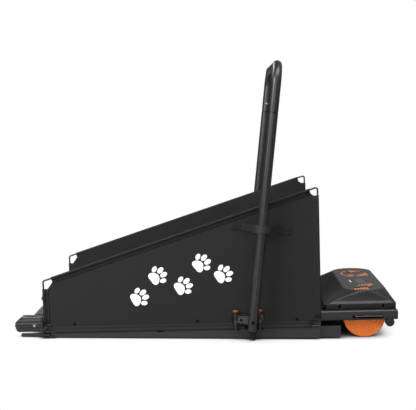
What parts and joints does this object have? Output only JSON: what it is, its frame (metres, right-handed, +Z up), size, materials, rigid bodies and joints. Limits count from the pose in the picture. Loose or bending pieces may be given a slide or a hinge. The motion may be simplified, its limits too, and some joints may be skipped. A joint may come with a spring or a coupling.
{
  "type": "dog treadmill",
  "caption": "Free-standing dog treadmill with a belt deck between cloth side panels, a motor hood with a console and large front wheels, and a folding tube handle.",
  "frame": {"origin": "middle of the footprint on the floor, under the centre of the bounding box", "axes": "+X to the motor end, +Y to the left side seen from behind, +Z up"},
  "size_m": [1.2594, 0.5926, 0.9027],
  "materials": {
    "frame_paint": "satin powder coat",
    "tube_paint": "satin powder coat",
    "deck_wood": "waxed board",
    "soft_rubber": "matte",
    "belt_rubber": "fine grain",
    "drive_rubber": "matte",
    "black_plastic": "fine texture",
    "bracket_steel": "satin powder coat",
    "bright_steel": "zinc plated",
    "cast_metal": "turned",
    "motor_paint": "gloss paint",
    "aluminium_case": "cast",
    "hood_plastic": "fine texture",
    "console_gloss": "polished",
    "display_glass": "tinted window",
    "orange_plastic": "moulded",
    "orange_knob": "moulded",
    "switch_red": "moulded",
    "wire_paint": "satin",
    "panel_fabric": "woven polyester",
    "webbing": "woven webbing"
  },
  "bodies": {
    "frame": {"side_rail_left": "frame_paint", "side_rail_right": "frame_paint", "cross_tubes": "frame_paint", "deck_board": "deck_wood", "deck_cushions": "soft_rubber", "running_belt": "belt_rubber", "foot_rails": "black_plastic", "rear_caps": "black_plastic", "tension_bolts": "bright_steel", "rear_axle": "bright_steel", "front_axle": "bright_steel", "drive_belt": "drive_rubber", "motor_body": "motor_paint", "motor_cradle": "frame_paint", "control_box": "aluminium_case", "motor_tray": "frame_paint", "front_panel": "black_plastic", "motor_hood": "hood_plastic", "console_plate": "console_gloss", "display_lens": "display_glass", "power_inlet": "black_plastic", "rail_forks": "black_plastic", "slot_bars": "bright_steel", "wheel_axles": "bright_steel", "base_skirts": "frame_paint", "floor_feet": "soft_rubber", "handle_bracket_left": "bracket_steel", "handle_bracket_right": "bracket_steel", "clamp_blocks": "bracket_steel", "panel_wires": "wire_paint", "panel_cloth_left": "panel_fabric", "panel_cloth_right": "panel_fabric", "panel_straps": "webbing", "pivot_bolts": "bracket_steel", "fixing_screws": "bright_steel"},
    "rear_roller_unit": {"rear_roller": "bright_steel", "rear_bearings": "bright_steel"},
    "front_roller_unit": {"front_roller": "bright_steel", "front_bearings": "bright_steel", "roller_pulley": "cast_metal"},
    "motor_spindle": {"motor_rotor": "cast_metal"},
    "big_wheel_left": {"front_wheel_left": "orange_plastic"},
    "big_wheel_right": {"front_wheel_right": "orange_plastic"},
    "small_wheel_left": {"tilt_wheel_left": "black_plastic"},
    "small_wheel_right": {"tilt_wheel_right": "black_plastic"},
    "handle": {"handle_posts": "tube_paint", "handle_top": "tube_paint", "tube_inserts": "black_plastic"},
    "button_left": {"snap_button_left": "bright_steel"},
    "button_right": {"snap_button_right": "bright_steel"},
    "start_button": {"key_start": "orange_plastic"},
    "faster_button": {"key_faster": "orange_plastic"},
    "slower_button": {"key_slower": "orange_plastic"},
    "switch": {"power_rocker": "switch_red"},
    "knob_left_rear": {"thumb_screw_left_rear": "orange_knob"},
    "knob_left_mid": {"thumb_screw_left_mid": "orange_knob"},
    "knob_left_front": {"thumb_screw_left_front": "orange_knob"},
    "knob_right_rear": {"thumb_screw_right_rear": "orange_knob"},
    "knob_right_mid": {"thumb_screw_right_mid": "orange_knob"},
    "knob_right_front": {"thumb_screw_right_front": "orange_knob"}
  },
  "joints": [
    {"name": "front_roller_spin", "type": "hinge", "parent": "frame", "child": "front_roller_unit", "pos_m": [0.4117, 0, 0.07019], "axis": [0, 1, 0], "continuous": true},
    {"name": "rear_roller_spin", "type": "hinge", "parent": "frame", "child": "rear_roller_unit", "pos_m": [-0.56492, 0, 0.04292], "axis": [0, 1, 0], "continuous": true},
    {"name": "motor_spin", "type": "hinge", "parent": "frame", "child": "motor_spindle", "pos_m": [0.50854, 0, 0.09501], "axis": [0, 1, 0], "continuous": true},
    {"name": "big_wheel_left_spin", "type": "hinge", "parent": "frame", "child": "big_wheel_left", "pos_m": [0.52527, 0.208, 0.069], "axis": [0, 1, 0], "continuous": true},
    {"name": "big_wheel_right_spin", "type": "hinge", "parent": "frame", "child": "big_wheel_right", "pos_m": [0.52527, -0.208, 0.069], "axis": [0, 1, 0], "continuous": true},
    {"name": "small_wheel_left_spin", "type": "hinge", "parent": "frame", "child": "small_wheel_left", "pos_m": [0.60515, 0.222, 0.05669], "axis": [0, 1, 0], "continuous": true},
    {"name": "small_wheel_right_spin", "type": "hinge", "parent": "frame", "child": "small_wheel_right", "pos_m": [0.60515, -0.222, 0.05669], "axis": [0, 1, 0], "continuous": true},
    {"name": "handle_fold", "type": "hinge", "parent": "frame", "child": "handle", "pos_m": [0.15572, 0, 0.06715], "axis": [0, -1, 0], "range_deg": [0, 94], "deforming": ["panel_straps"]},
    {"name": "snap_button_left_press", "type": "slide", "parent": "handle", "child": "button_left", "axis": [0, 1, 0], "range_m": [0, 0.004], "stiffness_N_per_m": 400, "springref_m": -0.004},
    {"name": "snap_button_right_press", "type": "slide", "parent": "handle", "child": "button_right", "axis": [0, -1, 0], "range_m": [0, 0.004], "stiffness_N_per_m": 400, "springref_m": -0.004},
    {"name": "knob_left_rear_turn", "type": "hinge", "parent": "frame", "child": "knob_left_rear", "pos_m": [-0.53237, 0.2457, 0.01991], "axis": [-0.0279, 0, 0.9996], "continuous": true},
    {"name": "knob_left_mid_turn", "type": "hinge", "parent": "frame", "child": "knob_left_mid", "pos_m": [0.10202, 0.2487, 0.03764], "axis": [-0.0279, 0, 0.9996], "continuous": true},
    {"name": "knob_left_front_turn", "type": "hinge", "parent": "frame", "child": "knob_left_front", "pos_m": [0.17999, 0.2487, 0.03981], "axis": [-0.0279, 0, 0.9996], "continuous": true},
    {"name": "knob_right_rear_turn", "type": "hinge", "parent": "frame", "child": "knob_right_rear", "pos_m": [-0.53237, -0.2457, 0.01991], "axis": [-0.0279, 0, 0.9996], "continuous": true},
    {"name": "knob_right_mid_turn", "type": "hinge", "parent": "frame", "child": "knob_right_mid", "pos_m": [0.10202, -0.2487, 0.03764], "axis": [-0.0279, 0, 0.9996], "continuous": true},
    {"name": "knob_right_front_turn", "type": "hinge", "parent": "frame", "child": "knob_right_front", "pos_m": [0.17999, -0.2487, 0.03981], "axis": [-0.0279, 0, 0.9996], "continuous": true},
    {"name": "key_start_press", "type": "slide", "parent": "frame", "child": "start_button", "axis": [0.0279, 0, -0.9996], "range_m": [0, 0.0008], "stiffness_N_per_m": 500, "springref_m": -0.001},
    {"name": "key_faster_press", "type": "slide", "parent": "frame", "child": "faster_button", "axis": [0.0279, 0, -0.9996], "range_m": [0, 0.0008], "stiffness_N_per_m": 500, "springref_m": -0.001},
    {"name": "key_slower_press", "type": "slide", "parent": "frame", "child": "slower_button", "axis": [0.0279, 0, -0.9996], "range_m": [0, 0.0008], "stiffness_N_per_m": 500, "springref_m": -0.001},
    {"name": "power_rocker_tilt", "type": "hinge", "parent": "frame", "child": "switch", "pos_m": [0.6159, 0.052, 0.0835], "axis": [0, -1, 0], "range_deg": [0, 14]}
  ],
  "couplings": [
    {"joint": "rear_roller_spin", "follows": "front_roller_spin", "ratio": 1},
    {"joint": "motor_spin", "follows": "front_roller_spin", "ratio": 2.2727}
  ]
}
